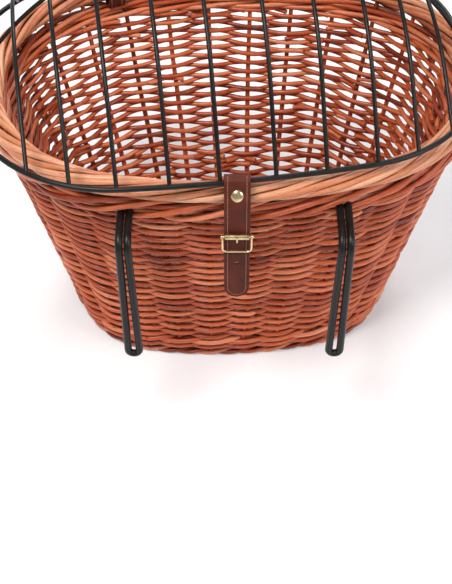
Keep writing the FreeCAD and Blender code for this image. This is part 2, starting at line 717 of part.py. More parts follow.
prong_eye = Part.makeTorus(eye_major, PRONG_EYE_WIRE / 2, in_buckle(0, 0, bar_in), Vector(1, 0, 0))
rest_out = plane_out + ROLLER_OUT + PRONG_WIRE / 2 + PRONG_REST_GAP
prong_path = rounded_path([in_buckle(0, -eye_major, bar_in), in_buckle(0, -PRONG_RISE, bar_in),
                           in_buckle(0, -PRONG_RISE, rest_out),
                           in_buckle(0, top_down - PRONG_BEYOND, rest_out)], [PRONG_BEND, PRONG_BEND])
prong_rod = rod_along(prong_path, PRONG_WIRE)
add_feature("buckle_prong", prong_eye.fuse(prong_rod).removeSplitter())

# ---------------------------------------------------------------- buckle strap on the wall
lower_thick = size("lower_strap_thick")
pin = in_buckle(0, 0, bar_in)
pin_side = side_point(pin.y, pin.z)
wall_end = side_point(size("lower_strap_end_y"), size("lower_strap_end_z"))
run_in = (wall_end - pin_side).normalize()
run_up = Vector(1, 0, 0).cross(run_in)
lap = (lower_thick + LAYER_GAP) / 2
LOWER_THROAT = 7.0
LOWER_THROAT_BEND = 3.0
lower_half = (LOWER_THROAT + fold_radius) * math.tan(math.asin(fold_radius / LOWER_THROAT))
lower_path = rounded_path([wall_end + run_up * lap,
                           pin_side + run_in * LOWER_THROAT + run_up * lap,
                           pin_side - run_in * fold_radius + run_up * lower_half,
                           pin_side - run_in * fold_radius - run_up * lower_half,
                           pin_side + run_in * LOWER_THROAT - run_up * lap,
                           wall_end - run_up * lap],
                          [LOWER_THROAT_BEND, fold_radius - BEND_SLACK, fold_radius - BEND_SLACK,
                           LOWER_THROAT_BEND])
lower_solid = ribbon_along(lower_path, size("lower_strap_width"), lower_thick, centre_x)
PRONG_SLOT_WIDE = 5.0
PRONG_SLOT_LONG = 11.0
PRONG_SLOT_IN = 4.4
slot_box = Part.makeBox(PRONG_SLOT_WIDE, PRONG_SLOT_LONG, PRONG_SLOT_LONG)
slot_box.translate(pin - Vector(PRONG_SLOT_WIDE / 2, PRONG_SLOT_LONG - PRONG_SLOT_IN, PRONG_SLOT_LONG / 2))
lower_solid = lower_solid.cut(slot_box)
LOWER_RIVET_RUN = 16.0
rivet_spot = pin + run_in * LOWER_RIVET_RUN
lower_solid = lower_solid.cut(bar(rivet_spot, run_up, PUNCH_LONG, RIVET_SHANK))
add_feature("buckle_strap", lower_solid)

LOWER_CAP = 3.6
LOWER_CAP_THICK = 1.0
LOWER_HEAD = 3.8
LOWER_HEAD_HIGH = 1.6
lower_skin = lap + lower_thick / 2
lower_profile = [(0, -lower_skin - LOWER_CAP_THICK), (LOWER_CAP, -lower_skin - LOWER_CAP_THICK),
                 (LOWER_CAP, -lower_skin), (RIVET_SHANK / 2, -lower_skin), (RIVET_SHANK / 2, lower_skin),
                 (LOWER_HEAD, lower_skin)]
for share in DOME_STEPS:
    lower_profile.append((LOWER_HEAD * math.sqrt(1 - share ** 2), lower_skin + LOWER_HEAD_HIGH * share))
rivet_body("buckle_strap_rivet", lower_profile, Placement(rivet_spot, Rotation(Vector(0, 0, 1), run_up)))

# ---------------------------------------------------------------- check and write
doc.recompute()
NODES = (["foot_ring", "bottom_waling", "side_weave", "top_waling", "rim_border", "stakes",
          "base_weave", "base_sticks", "hook_frame", "hinge_loop_left", "hinge_loop_right",
          "hinge_rivets", "buckle_strap", "buckle_strap_rivet", "lid_rim_wire", "lid_cross_wire"]
         + [f"dome_wire_{number:02d}" for number in range(1, len(DOME_OFFSETS) + 1)]
         + ["closure_strap", "closure_rivet", "closure_rivet_post",
            "buckle_frame", "buckle_roller", "buckle_prong"])

for item in doc.Objects:
    if "Invalid" in item.State or "Error" in item.State:
        raise RuntimeError(f"{item.Label} failed: {item.State}")

os.makedirs("parts", exist_ok=True)
for node in NODES:
    piece = doc.getObjectsByLabel(node)[0]
    if piece.Shape.isNull() or not piece.Shape.isValid():
        raise RuntimeError(f"{node} has no valid shape")
    if piece.Shape.Volume <= 0:
        raise RuntimeError(f"{node} has no volume")
    piece.Shape.exportStep(f"parts/{node}.step")
    box = piece.Shape.BoundBox
    print(f"{node:20s} {piece.Shape.Volume / 1000:9.2f} cm3  x {box.XMin:7.1f} {box.XMax:7.1f}  "
          f"y {box.YMin:7.1f} {box.YMax:7.1f}  z {box.ZMin:7.1f} {box.ZMax:7.1f}")

shift = Vector(size("shift_x"), size("shift_y"), 0)
print("lid hinge", tuple(hinge_point(-1) + shift), tuple(hinge_point(1) + shift))
print("strap swing", tuple(eye_point + shift))
print("buckle bar", tuple(pin + shift))
print("roller bar", tuple(in_buckle(0, top_down, plane_out) + shift))
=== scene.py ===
import json
import math

import bpy
import numpy as np
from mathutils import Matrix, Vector


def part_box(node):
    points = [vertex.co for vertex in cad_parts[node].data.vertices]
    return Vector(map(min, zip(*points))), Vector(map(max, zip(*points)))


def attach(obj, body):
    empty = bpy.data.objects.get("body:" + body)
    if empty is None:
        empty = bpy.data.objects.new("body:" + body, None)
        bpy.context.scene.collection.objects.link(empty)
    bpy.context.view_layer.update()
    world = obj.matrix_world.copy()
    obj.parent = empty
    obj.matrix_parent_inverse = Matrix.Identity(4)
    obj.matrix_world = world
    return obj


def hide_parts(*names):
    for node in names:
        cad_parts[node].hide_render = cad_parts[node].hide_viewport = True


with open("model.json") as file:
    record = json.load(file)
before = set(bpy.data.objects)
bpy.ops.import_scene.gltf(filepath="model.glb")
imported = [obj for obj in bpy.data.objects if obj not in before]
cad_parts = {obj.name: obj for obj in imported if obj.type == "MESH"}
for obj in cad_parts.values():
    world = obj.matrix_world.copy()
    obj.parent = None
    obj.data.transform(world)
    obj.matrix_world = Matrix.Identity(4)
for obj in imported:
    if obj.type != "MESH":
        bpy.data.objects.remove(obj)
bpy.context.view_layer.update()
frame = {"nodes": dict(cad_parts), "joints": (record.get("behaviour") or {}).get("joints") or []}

# A wicker handlebar basket: real woven willow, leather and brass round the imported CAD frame.
# Lengths in this script are millimetres until a mesh is made; MM turns them into metres.
MM = 0.001
rng = np.random.default_rng(58)

# ---------------------------------------------------------------- the woven oval
SHIFT = np.array([5.5, 10.9, 0.0])
WEAVE_TURN = math.radians(3.0)
STAKES = 28
WALL_HIGH = 255.5
FOOT = dict(half_x=156.0, half_y=108.0, corner=90.0, long_arc=400.0, side_arc=520.0)
TOP = dict(half_x=217.0, half_y=162.0, corner=142.0, long_arc=412.0, side_arc=700.0)
BORDER = dict(half_x=224.7, half_y=169.5, corner=150.0, long_arc=420.0, side_arc=708.0)
WALL_MIDDLE = -5.5


class Oval:
    """Closed outline of eight tangent arcs, sampled by its share of the way round."""

    def __init__(self, half_x, half_y, corner, long_arc, side_arc):
        long_c = np.array([0.0, half_y - long_arc])
        side_c = np.array([half_x - side_arc, 0.0])
        between = side_c - long_c
        gap = np.linalg.norm(between)
        reach_long, reach_side = long_arc - corner, side_arc - corner
        along = (reach_long ** 2 - reach_side ** 2 + gap ** 2) / (2 * gap)
        across = math.sqrt(reach_long ** 2 - along ** 2)
        ahead = between / gap
        normal = np.array([-ahead[1], ahead[0]])
        corner_c = max((long_c + ahead * along + normal * sign * across for sign in (1, -1)),
                       key=lambda point: point.sum())
        long_turn = math.atan2(corner_c[0], corner_c[1] - long_c[1])
        side_turn = math.atan2(corner_c[1], corner_c[0] - side_c[0])
        corner_turn = math.pi / 2 - long_turn - side_turn
        down, right, up, left = -math.pi / 2, 0.0, math.pi / 2, math.pi
        flip = np.array([1.0, -1.0])
        self.arcs = [
            (long_c * flip, long_arc, down - long_turn, 2 * long_turn),
            (corner_c * flip, corner, down + long_turn, corner_turn),
            (side_c, side_arc, right - side_turn, 2 * side_turn),
            (corner_c, corner, right + side_turn, corner_turn),
            (long_c, long_arc, up - long_turn, 2 * long_turn),
            (corner_c * -flip, corner, up + long_turn, corner_turn),
            (-side_c, side_arc, left - side_turn, 2 * side_turn),
            (-corner_c, corner, left + side_turn, corner_turn)]
        self.ends = np.cumsum([radius * turn for _, radius, _, turn in self.arcs])
        self.length = self.ends[-1]

    def sample(self, share):
        """Points and outward normals at an array of shares of the perimeter."""
        travel = np.mod(share, 1.0) * self.length
        which = np.searchsorted(self.ends, travel, side="right")
        which = np.minimum(which, len(self.arcs) - 1)
        centre = np.array([arc[0] for arc in self.arcs])[which]
        radius = np.array([arc[1] for arc in self.arcs])[which]
        start = np.array([arc[2] for arc in self.arcs])[which]
        begun = np.concatenate([[0.0], self.ends])[which]
        angle = start + (travel - begun) / radius
        normal = np.stack([np.cos(angle), np.sin(angle)], axis=-1)
        return centre + normal * radius[..., None], normal


def grown(spec, amount):
    """The same outline moved outward by an amount, or inward if it is negative."""
    return {key: value + amount for key, value in spec.items()}


def wall_oval(level, outward=0.0):
    """The wall's outline at a height, moved outward."""
    share = level / WALL_HIGH
    spec = {key: FOOT[key] * (1 - share) + TOP[key] * share for key in FOOT}
    return Oval(**grown(spec, outward))


def turned(points):
    """Weave-frame millimetres to row-frame millimetres."""
    cos, sin = math.cos(WEAVE_TURN), math.sin(WEAVE_TURN)
    out = points.copy()
    out[..., 0] = points[..., 0] * cos - points[..., 1] * sin
    out[..., 1] = points[..., 0] * sin + points[..., 1] * cos
    return out + SHIFT


# ---------------------------------------------------------------- rods in one mesh
GRAIN_LENGTH = 5000.0


class Rods:
    """Collects tapering round rods and makes one mesh of them, with a tint for each rod."""

    def __init__(self, sides):
        self.sides = sides
        self.verts, self.faces, self.uvs, self.tints = [], [], [], []
        self.count = 0

    def add(self, path, radius, tint=None, reference=(0.0, 0.0, 1.0), squash=1.0):
        """One rod along a path: its grain starts at a random place, and each end has a cap."""
        path = np.asarray(path, float)
        steps = len(path)
        radius = np.broadcast_to(np.asarray(radius, float), (steps,))
        tangent = np.gradient(path, axis=0)
        tangent /= np.linalg.norm(tangent, axis=1)[:, None]
        side = np.cross(tangent, np.asarray(reference, float))
        side /= np.linalg.norm(side, axis=1)[:, None]
        up = np.cross(side, tangent)
        turn = np.linspace(0, 2 * math.pi, self.sides, endpoint=False)
        ring = (side[:, None, :] * (np.cos(turn) * squash)[None, :, None]
                + up[:, None, :] * np.sin(turn)[None, :, None])
        verts = path[:, None, :] + ring * radius[:, None, None]
        base = self.count
        inner = np.arange(steps - 1)[:, None] * self.sides
        spin = np.arange(self.sides)[None, :]
        ahead = (spin + 1) % self.sides
        quads = np.stack([inner + spin, inner + ahead, inner + self.sides + ahead,
                          inner + self.sides + spin], axis=-1).reshape(-1, 4) + base
        travel = np.concatenate([[0], np.cumsum(np.linalg.norm(np.diff(path, axis=0), axis=1))])
        travel = travel + rng.uniform(0, GRAIN_LENGTH)
        low, high = travel[:-1], travel[1:]
        v_low = np.arange(self.sides) / self.sides
        v_high = v_low + 1.0 / self.sides
        shape = (steps - 1, self.sides)
        u_low = np.broadcast_to(low[:, None], shape)
        u_high = np.broadcast_to(high[:, None], shape)
        v_a = np.broadcast_to(v_low[None, :], shape)
        v_b = np.broadcast_to(v_high[None, :], shape)
        uv = np.stack([np.stack([u_low, v_a], -1), np.stack([u_low, v_b], -1),
                       np.stack([u_high, v_b], -1), np.stack([u_high, v_a], -1)], axis=2)
        self.verts.append(verts.reshape(-1, 3))
        self.faces.append(quads)
        self.uvs.append(uv.reshape(-1, 2))
        self.count += steps * self.sides
        for end, flip in ((0, True), (steps - 1, False)):
            rim = np.arange(self.sides) + base + end * self.sides
            self.verts.append(path[end][None, :])
            middle = self.count
            self.count += 1
            after = np.roll(rim, -1)
            first, second = (after, rim) if flip else (rim, after)
            hub = np.full(self.sides, middle)
            self.faces.append(np.stack([hub, first, second, hub], -1))
            cap_uv = np.full((self.sides * 4, 2), 0.5)
            cap_uv[:, 0] = travel[end]
            self.uvs.append(cap_uv)
        tint = rng.uniform(0, 1) if tint is None else tint
        self.tints.append(np.full(steps * self.sides + 2, tint))

    def build(self, name, material, body="basket", replaces=(), slot="willow"):
        """One mesh of all the rods. A cap's triangle is kept as a quad that repeats its first corner."""
        verts = np.concatenate(self.verts) * MM
        faces = np.concatenate(self.faces)
        uvs = np.concatenate(self.uvs)
        is_tri = faces[:, 0] == faces[:, 3]
        lists = [face[:3] if tri else face for face, tri in zip(faces.tolist(), is_tri.tolist())]
        mesh = bpy.data.meshes.new(name)
        mesh.from_pydata(verts.tolist(), [], lists)
        keep = np.ones((len(faces), 4), bool)
        keep[is_tri, 3] = False
        layer = mesh.uv_layers.new(name="rod_uv")
        flat = uvs.reshape(-1, 4, 2)[keep]
        layer.data.foreach_set("uv", (flat * np.array([MM, 1.0])).astype(np.float32).ravel())
        tint = mesh.attributes.new("rod_tint", "FLOAT", "POINT")
        tint.data.foreach_set("value", np.concatenate(self.tints).astype(np.float32))
        mesh.polygons.foreach_set("use_smooth", ~is_tri)
        mesh.update()
        finish_piece(name, mesh, material, body, replaces)


def finish_piece(name, mesh, material, body, replaces):
    """Put a mesh in the scene, on its body and in place of its CAD nodes."""
    piece = bpy.data.objects.new(name, mesh)
    bpy.context.scene.collection.objects.link(piece)
    mesh.materials.append(material)
    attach(piece, body)
    if replaces:
        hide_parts(*replaces)
    return piece


# ---------------------------------------------------------------- materials
def new_material(name):
    material = bpy.data.materials.new(name)
    material.use_nodes = True
    tree = material.node_tree
    shader = tree.nodes["Principled BSDF"]
    return material, tree, shader


def node(tree, kind, **settings):
    made = tree.nodes.new(kind)
    for key, value in settings.items():
        setattr(made, key, value)
    return made


def ramp(tree, source, stops):
    made = tree.nodes.new("ShaderNodeValToRGB")
    while len(made.color_ramp.elements) < len(stops):
        made.color_ramp.elements.new(0.5)
    for element, (place, colour) in zip(made.color_ramp.elements, stops):
        element.position = place
        element.color = (*colour, 1.0)
    tree.links.new(source, made.inputs["Fac"])
    return made.outputs["Color"]


def noise(tree, vector, scale, detail=4.0, roughness=0.55):
    made = node(tree, "ShaderNodeTexNoise")
    made.inputs["Scale"].default_value = scale
    made.inputs["Detail"].default_value = detail
    made.inputs["Roughness"].default_value = roughness
    if vector is not None:
        tree.links.new(vector, made.inputs["Vector"])
    return made.outputs["Fac"]


def stretched(tree, vector, scale):
    made = node(tree, "ShaderNodeMapping")
    made.inputs["Scale"].default_value = scale
    tree.links.new(vector, made.inputs["Vector"])
    return made.outputs["Vector"]


def mix(tree, factor, first, second, blend="MIX"):
    made = node(tree, "ShaderNodeMix", data_type="RGBA", blend_type=blend)
    for socket, value in (("Factor", factor), ("A", first), ("B", second)):
        target = [s for s in made.inputs if s.name == socket and s.enabled][0]
        if isinstance(value, (int, float)):
            target.default_value = value
        elif isinstance(value, tuple):
            target.default_value = (*value, 1.0)
        else:
            tree.links.new(value, target)
    return [s for s in made.outputs if s.enabled][0]


def maths(tree, operation, first, second=None, third=None):
    made = node(tree, "ShaderNodeMath", operation=operation)
    for socket, value in zip(made.inputs, (first, second, third)):
        if value is None:
            continue
        if isinstance(value, (int, float)):
            socket.default_value = value
        else:
            tree.links.new(value, socket)
    return made.outputs[0]


def bump(tree, shader, height, strength, distance):
    made = node(tree, "ShaderNodeBump")
    made.inputs["Strength"].default_value = strength
    made.inputs["Distance"].default_value = distance
    tree.links.new(height, made.inputs["Height"])
    tree.links.new(made.outputs["Normal"], shader.inputs["Normal"])


def willow_material(name, stops, weather):
    """Stained willow: a tint for each rod, streaks along it, nodes and pores, painted shade darkening
    the gaps between rods, satin varnish.
    """
    material, tree, shader = new_material(name)
    uv = node(tree, "ShaderNodeUVMap", uv_map="rod_uv").outputs["UV"]
    tint = node(tree, "ShaderNodeAttribute", attribute_name="rod_tint").outputs["Fac"]
    place = node(tree, "ShaderNodeTexCoord").outputs["Object"]
    streak = noise(tree, stretched(tree, uv, (28.0, 5.0, 1.0)), 1.0, 6.0, 0.62)
    fine = noise(tree, stretched(tree, uv, (160.0, 26.0, 1.0)), 1.0, 3.0, 0.6)
    patch = noise(tree, place, 9.0, 3.0, 0.5)
    drift = maths(tree, "MULTIPLY_ADD", maths(tree, "SUBTRACT", streak, 0.5), 0.75, tint)
    drift = maths(tree, "MULTIPLY_ADD", maths(tree, "SUBTRACT", patch, 0.5), 0.55, drift)
    colour = ramp(tree, drift, stops)
    dark = ramp(tree, fine, [(0.30, (0.45, 0.36, 0.32)), (0.46, (1.0, 1.0, 1.0))])
    colour = mix(tree, 0.8, colour, dark, "MULTIPLY")
    knots = node(tree, "ShaderNodeTexVoronoi", feature="F1")
    knots.inputs["Scale"].default_value = 1.0
    tree.links.new(stretched(tree, uv, (34.0, 2.2, 1.0)), knots.inputs["Vector"])
    knot = ramp(tree, knots.outputs["Distance"],
                [(0.05, (0.32, 0.2, 0.16)), (0.13, (1.0, 1.0, 1.0))])
    colour = mix(tree, 0.75, colour, knot, "MULTIPLY")
    # painted shade: an ambient-occlusion mask multiplies the colour darker in the gaps and crevices
    # between rods, where shade falls
    painted_shade_ao = node(tree, "ShaderNodeAmbientOcclusion", samples=6)
    painted_shade_ao.inputs["Distance"].default_value = 0.012
    depth = ramp(tree, painted_shade_ao.outputs["AO"], [(0.18, (0.30, 0.22, 0.20)), (0.62, (1.0, 1.0, 1.0))])
    colour = mix(tree, 0.85, colour, depth, "MULTIPLY")
    worn = ramp(tree, noise(tree, place, 55.0, 5.0, 0.7), [(0.56, (0, 0, 0)), (0.74, (1, 1, 1))])
    colour = mix(tree, maths(tree, "MULTIPLY", worn, weather), colour, (0.72, 0.36, 0.22))
    tree.links.new(colour, shader.inputs["Base Color"])
    rough = maths(tree, "MULTIPLY_ADD", streak, 0.26, 0.26)
    tree.links.new(rough, shader.inputs["Roughness"])
    shader.inputs["Coat Weight"].default_value = 0.26
    shader.inputs["Coat Roughness"].default_value = 0.14
    shader.inputs["Specular IOR Level"].default_value = 0.20
    height = maths(tree, "MULTIPLY_ADD", fine, 0.6, streak)
    height = maths(tree, "MULTIPLY_ADD", knots.outputs["Distance"], 0.25, height)
    bump(tree, shader, height, 0.55, 0.0004)
    return material


def leather_material():
    """Dark brown leather: cloudy colour, fine pebble grain with darker creases."""
    material, tree, shader = new_material("brown_leather")
    place = node(tree, "ShaderNodeTexCoord").outputs["Object"]
    pebble = node(tree, "ShaderNodeTexVoronoi", feature="DISTANCE_TO_EDGE")
    pebble.inputs["Scale"].default_value = 1500.0
    tree.links.new(place, pebble.inputs["Vector"])
    cloud = noise(tree, place, 70.0, 5.0, 0.6)
    broad = noise(tree, stretched(tree, place, (60.0, 60.0, 18.0)), 1.0, 3.0, 0.5)
    blotch = maths(tree, "MULTIPLY_ADD", broad, 0.5, maths(tree, "MULTIPLY", cloud, 0.5))
    colour = ramp(tree, blotch, [(0.30, (0.046, 0.009, 0.005)), (0.52, (0.084, 0.016, 0.009)),
                                 (0.75, (0.128, 0.030, 0.017))])
    crease = ramp(tree, pebble.outputs["Distance"], [(0.0, (0.6, 0.55, 0.52)), (0.09, (1, 1, 1))])
    colour = mix(tree, 0.5, colour, crease, "MULTIPLY")
    tree.links.new(colour, shader.inputs["Base Color"])
    rough = maths(tree, "MULTIPLY_ADD", cloud, 0.3, 0.40)
    tree.links.new(rough, shader.inputs["Roughness"])
    shader.inputs["Specular IOR Level"].default_value = 0.18
    height = maths(tree, "MULTIPLY_ADD", pebble.outputs["Distance"], 0.5, cloud)
    bump(tree, shader, height, 0.35, 0.00025)
    return material


def thread_material():
    material, tree, shader = new_material("waxed_thread")
    place = node(tree, "ShaderNodeTexCoord").outputs["Object"]
    twist = node(tree, "ShaderNodeTexWave", wave_type="BANDS", bands_direction="DIAGONAL")
    twist.inputs["Scale"].default_value = 900.0
    tree.links.new(place, twist.inputs["Vector"])
    colour = ramp(tree, noise(tree, place, 300.0),
                  [(0.35, (0.22, 0.085, 0.035)), (0.7, (0.40, 0.19, 0.085))])
    tree.links.new(colour, shader.inputs["Base Color"])
    shader.inputs["Roughness"].default_value = 0.6
    bump(tree, shader, twist.outputs["Fac"], 0.5, 0.0002)
    return material


def coated_material():
    """Satin black plastic dip on steel wire, with faint runs and scuffs."""
    material, tree, shader = new_material("black_coating")
    place = node(tree, "ShaderNodeTexCoord").outputs["Object"]
    cloud = noise(tree, place, 45.0, 5.0, 0.6)
    fine = noise(tree, place, 600.0, 3.0, 0.6)
    colour = ramp(tree, cloud, [(0.35, (0.004, 0.0038, 0.0038)), (0.7, (0.010, 0.0095, 0.0092))])
    scuff = ramp(tree, noise(tree, place, 130.0, 8.0, 0.75), [(0.66, (0, 0, 0)), (0.78, (1, 1, 1))])
    colour = mix(tree, maths(tree, "MULTIPLY", scuff, 0.2), colour, (0.08, 0.075, 0.07))
    tree.links.new(colour, shader.inputs["Base Color"])
    tree.links.new(maths(tree, "MULTIPLY_ADD", cloud, 0.25, 0.25), shader.inputs["Roughness"])
    shader.inputs["Specular IOR Level"].default_value = 0.26
    bump(tree, shader, maths(tree, "MULTIPLY_ADD", fine, 0.4, cloud), 0.25, 0.0003)
    return material


def brass_material():
    material, tree, shader = new_material("worn_brass")
    place = node(tree, "ShaderNodeTexCoord").outputs["Object"]
    cloud = noise(tree, place, 120.0, 3.0, 0.5)
    scratch = noise(tree, stretched(tree, place, (300.0, 2600.0, 2600.0)), 1.0, 3.0, 0.6)
    colour = ramp(tree, cloud, [(0.32, (0.52, 0.36, 0.18)), (0.5, (0.70, 0.53, 0.29)),
                                (0.72, (0.82, 0.66, 0.40))])
    tree.links.new(colour, shader.inputs["Base Color"])
    shader.inputs["Metallic"].default_value = 1.0
    tree.links.new(maths(tree, "MULTIPLY_ADD", cloud, 0.16, 0.12), shader.inputs["Roughness"])
    bump(tree, shader, maths(tree, "MULTIPLY_ADD", scratch, 0.5, cloud), 0.08, 0.0001)
    return material


WILLOW = willow_material("stained_willow", [
    (0.0, (0.180, 0.027, 0.010)), (0.28, (0.340, 0.053, 0.017)), (0.55, (0.510, 0.100, 0.032)),
    (0.8, (0.630, 0.168, 0.070)), (1.0, (0.720, 0.275, 0.145))], 0.20)
WILLOW_BORDER = willow_material("border_willow", [
    (0.0, (0.290, 0.070, 0.028)), (0.35, (0.470, 0.145, 0.062)), (0.7, (0.610, 0.245, 0.122)),
    (1.0, (0.720, 0.385, 0.235))], 0.30)
LEATHER = leather_material()
THREAD = thread_material()
BLACK = coated_material()
BRASS = brass_material()

# ---------------------------------------------------------------- weave
STEPS_PER_STAKE = 12
ROD_SIDES = 12
COURSE_LOW, COURSE_HIGH, COURSES = 33.4, 234.2, 40
COURSE_CROWDING = 0.17
SWING = 3.75
COURSE_BUTT, COURSE_TIP, COURSE_LAP, COURSE_WANDER = (2.4, 2.75), (1.95, 2.25), 0.035, 0.25
TUCK_STAKES, TUCK_IN = 0.6, 5.5
BAND_STRANDS, BAND_TINTS = 3, (0.1, 0.9)
WARP_WAVES = [(turns, rng.uniform(0, 2 * math.pi), rng.uniform(0, 2 * math.pi),
               rng.uniform(0.6, 1.0)) for turns in (2, 3, 5, 7, 11)]
WARP_HEIGHT = 2.0


def smooth_noise(count, knots, size):
    """A gentle random wave, one value for each of count steps."""
    marks = rng.uniform(-size, size, knots + 2)
    spots = np.linspace(0, knots + 1, count)
    low = np.floor(spots).astype(int).clip(0, knots)
    part = spots - low
    part = part * part * (3 - 2 * part)
    return marks[low] * (1 - part) + marks[low + 1] * part


def warp(share, level):
    """How far the weave has crept up or down: neighbouring courses creep together."""
    height = min(max((level - COURSE_LOW) / (COURSE_HIGH - COURSE_LOW), 0.0), 1.0)
    creep = sum(
        size * np.sin(2 * math.pi * turns * share + phase + 2.2 * math.sin(3.0 * height + drift))
        for turns, phase, drift, size in WARP_WAVES)
    return WARP_HEIGHT * creep * max(math.sin(math.pi * height), 0.0) ** 0.6


def course(rods, level, phase, start, span, butt, tip, tint):
    """One rod woven in front of and behind the stakes, thick end first."""
    steps = max(int(span * STAKES * STEPS_PER_STAKE), 4)
    share = start + np.linspace(0, span, steps)
    points, normal = wall_oval(level, WALL_MIDDLE).sample(share)
    wave = np.cos(math.pi * STAKES * share + phase)
    swing = SWING * (1.12 * wave - 0.12 * wave ** 3)
    swing += smooth_noise(steps, int(span * STAKES) + 1, 0.35)
    ends = np.minimum(np.arange(steps), np.arange(steps)[::-1]) / STEPS_PER_STAKE
    tuck = np.clip(1 - ends / TUCK_STAKES, 0, 1)
    swing = swing * (1 - tuck) - TUCK_IN * tuck
    lift = smooth_noise(steps, int(span * STAKES / 2) + 1, 0.85) + warp(share, level)
    slope = (TOP["half_x"] - FOOT["half_x"]) / WALL_HIGH
    height = np.full(steps, level) + lift
    flat = points + normal * (swing + lift * slope)[:, None]
    taper = butt + (tip - butt) * np.linspace(0, 1, steps) ** 0.8
    taper = taper * (1 + smooth_noise(steps, int(span * 40) + 2, 0.05))
    path = np.column_stack([flat, height])
    rods.add(turned(path), taper, tint, squash=0.97)


def build_courses():
    """The side weave: single rods, closer together towards the top."""
    rods = Rods(ROD_SIDES)
    rise = np.linspace(0, 1, COURSES)
    crowded = (1 + COURSE_CROWDING) * rise - COURSE_CROWDING * rise ** 2
    levels = COURSE_LOW + (COURSE_HIGH - COURSE_LOW) * crowded
    for row, level in enumerate(levels):
        slim = 1 + COURSE_CROWDING * (0.5 - rise[row])
        start = rng.uniform(0, 1)
        pieces = 2 if row % 3 else 3
        for _ in range(pieces):
            span = 1.0 / pieces + COURSE_LAP
            butt = rng.uniform(*COURSE_BUTT) * slim
            course(rods, level + rng.uniform(-COURSE_WANDER, COURSE_WANDER), math.pi * row, start,
                   span, butt, rng.uniform(*COURSE_TIP) * slim, rng.beta(3.0, 2.8))
            start += 1.0 / pieces
    rods.build("woven_wall", WILLOW, replaces=["side_weave"])


def twisted_band(rods, level, swing, rise, period, radius, outward=WALL_MIDDLE, jitter=0.5):
    """Strands that twist round each other and the stakes, one turn in each period of stakes."""
    steps = STAKES * STEPS_PER_STAKE + 1
    share = np.linspace(0, 1, steps)
    points, normal = wall_oval(level, outward).sample(share)
    turns = round(STAKES / period)
    for strand in range(BAND_STRANDS):
        angle = 2 * math.pi * (turns * share + strand / BAND_STRANDS)
        fade = np.minimum(share, 1 - share) / 0.01
        wander = smooth_noise(steps, 20, jitter) * np.clip(fade, 0, 1)
        flat = points + normal * (swing * np.cos(angle) + wander)[:, None]
        height = level + rise * np.sin(angle) + wander * 0.6
        size = radius * (1 + smooth_noise(steps, 24, 0.08))
        rods.add(turned(np.column_stack([flat, height])), size, rng.uniform(*BAND_TINTS))


def build_bottom_waling():
    """Two rows of three rods twisted round the stakes where the wall starts."""
    rods = Rods(ROD_SIDES)
    for level in (17.0, 25.4):
        twisted_band(rods, level, swing=4.9, rise=2.0, period=3.1, radius=2.7)
    rods.build("bottom_wale_rods", WILLOW, replaces=["bottom_waling"])


STAKE_BEND_LOW, STAKE_BEND_RISE = 231.0, 25.5


def build_top_waling():
    """Two loose rows under the border, crossed by the bent-over stakes."""
    rods = Rods(ROD_SIDES)
    twisted_band(rods, 239.6, swing=4.2, rise=2.2, period=3.5, radius=2.5)
    twisted_band(rods, 247.2, swing=4.4, rise=2.6, period=4.7, radius=2.6, jitter=0.9)
    # the stakes' tops: long slanting rods that climb into the border
    for stake in range(STAKES):
        steps = 3 * STEPS_PER_STAKE
        run = np.linspace(0, 1, steps)
        share = (stake + 0.1 + run * rng.uniform(2.1, 2.9)) / STAKES
        climb = run * run * (3 - 2 * run)
        level = STAKE_BEND_LOW + STAKE_BEND_RISE * climb
        low = wall_oval(STAKE_BEND_LOW).sample(share)
        high = wall_oval(WALL_HIGH).sample(share)
        part = ((level - STAKE_BEND_LOW) / (WALL_HIGH - STAKE_BEND_LOW)).clip(0, 1)[:, None]
        points = low[0] * (1 - part) + high[0] * part
        bulge = -5.0 + 8.0 * np.sin(math.pi * run) ** 0.7
        flat = points + low[1] * bulge[:, None]
        rods.add(turned(np.column_stack([flat, level])), 2.3 + 0.5 * run, rng.beta(2.4, 1.8))
    rods.build("top_wale_rods", WILLOW, replaces=["top_waling"])


BORDER_LEVEL, BORDER_HALF_WIDE, BORDER_HALF_HIGH = 265.0, 7.3, 6.0
BORDER_LANES, BORDER_TURNS, BORDER_PIECES, BORDER_LAP = 8, 5, 3, 0.06
BORDER_MIDDLE = -11.0
BORDER_CORES, CORE_RADIUS, CORE_TINT = ((-3.0, 0.0), (3.0, 0.0)), 3.0, 0.15


def build_border():
    """Thicker rods laid round each other on two hidden core rods."""
    rods = Rods(ROD_SIDES + 2)
    outline = Oval(**grown(BORDER, BORDER_MIDDLE))
    for lane in range(BORDER_LANES):
        start = rng.uniform(0, 1)
        for _ in range(BORDER_PIECES):
            span = 1.0 / BORDER_PIECES + BORDER_LAP
            steps = int(span * STAKES * STEPS_PER_STAKE)
            run = np.linspace(0, 1, steps)
            share = start + span * run
            turn = 2 * math.pi * (lane / BORDER_LANES + BORDER_TURNS * share)
            turn = turn + smooth_noise(steps, 7, 0.22)
            ends = np.minimum(run, 1 - run) * span * STAKES
            depth = 1 - 0.85 * np.clip(1 - ends / 0.9, 0, 1)
            points, normal = outline.sample(share)
            flat = points + normal * (BORDER_HALF_WIDE * np.cos(turn) * depth)[:, None]
            height = BORDER_LEVEL + BORDER_HALF_HIGH * np.sin(turn) * depth
            size = rng.uniform(2.75, 3.05) - 0.45 * run
            size = size * (1 + smooth_noise(steps, 12, 0.05))
            rods.add(turned(np.column_stack([flat, height])), size, rng.beta(2.0, 1.6))
            start += 1.0 / BORDER_PIECES
    core_steps = STAKES * STEPS_PER_STAKE + 1
    points, normal = outline.sample(np.linspace(0, 1, core_steps))
    for off, lift in BORDER_CORES:
        path = np.column_stack([points + normal * off, np.full(core_steps, BORDER_LEVEL + lift)])
        rods.add(turned(path), CORE_RADIUS, CORE_TINT)
    rods.build("border_rods", WILLOW_BORDER, replaces=["rim_border"], slot="willow_border")


